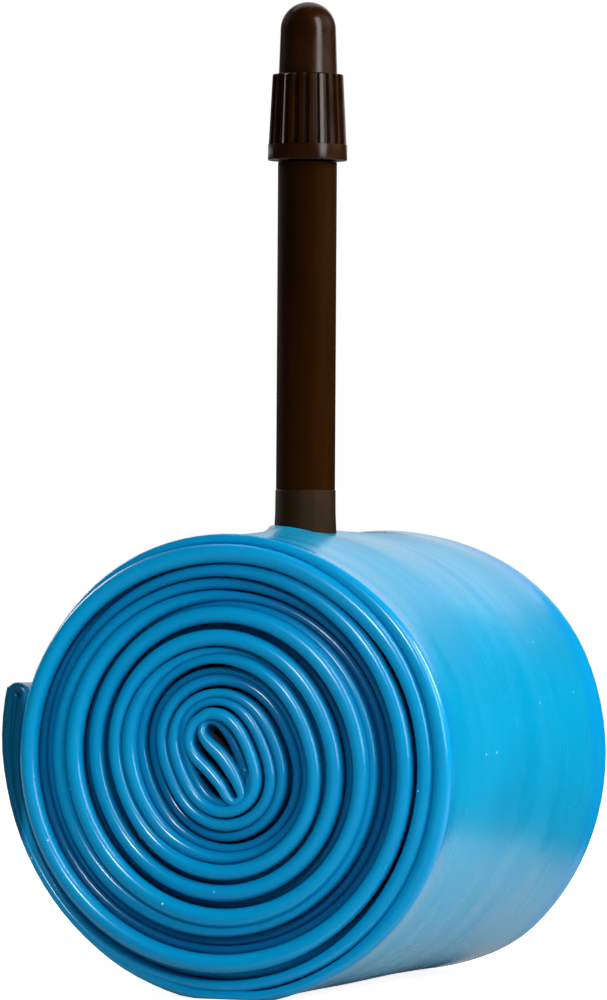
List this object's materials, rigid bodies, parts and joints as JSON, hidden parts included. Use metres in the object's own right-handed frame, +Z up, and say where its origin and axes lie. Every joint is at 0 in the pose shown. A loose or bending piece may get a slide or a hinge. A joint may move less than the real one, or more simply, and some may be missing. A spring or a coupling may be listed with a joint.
{
  "type": "inner tube",
  "caption": "Flat plastic bicycle inner tube, laid double and rolled up, with a slim valve stem and a ribbed dust cap that lifts off the lock nut and valve pin.",
  "frame": {"origin": "on the flat that the roll rests on, under the valve's axis", "axes": "+Z up along the valve, +Y along the roll's axis away from its front end, +X to the right seen from the front"},
  "size_m": [0.0467, 0.0523, 0.099],
  "materials": {
    "film": "glossy cyan-blue polyurethane film",
    "sleeve": "matte black soft plastic",
    "stem": "satin black moulded plastic",
    "cap": "semi-gloss black moulded plastic",
    "nickel": "satin nickel plate on turned brass",
    "brass": "bright turned brass",
    "seal": "matte black rubber"
  },
  "bodies": {
    "tube": {"tube_film": "film", "valve_collar": "film", "base_socket": "sleeve", "valve_stem": "stem", "stem_tip": "nickel", "core_body": "brass", "core_gasket": "seal"},
    "pin": {"core_pin": "brass", "core_seal": "seal"},
    "nut": {"core_nut": "brass"},
    "cap": {"dust_cap": "cap"}
  },
  "joints": [
    {"name": "cap_lift", "type": "slide", "parent": "tube", "child": "cap", "axis": [0, 0, 1], "range_m": [0, 0.02]},
    {"name": "nut_turn", "type": "hinge", "parent": "tube", "child": "nut", "pos_m": [0, 0, 0.0926], "axis": [0, 0, 1], "range_deg": [0, 1440]},
    {"name": "pin_drop", "type": "slide", "parent": "tube", "child": "pin", "axis": [0, 0, 1], "range_m": [-0.0016, 0]}
  ],
  "couplings": [
    {"joint": "nut_turn", "follows": "pin_drop", "rad_per_m": -15708}
  ]
}
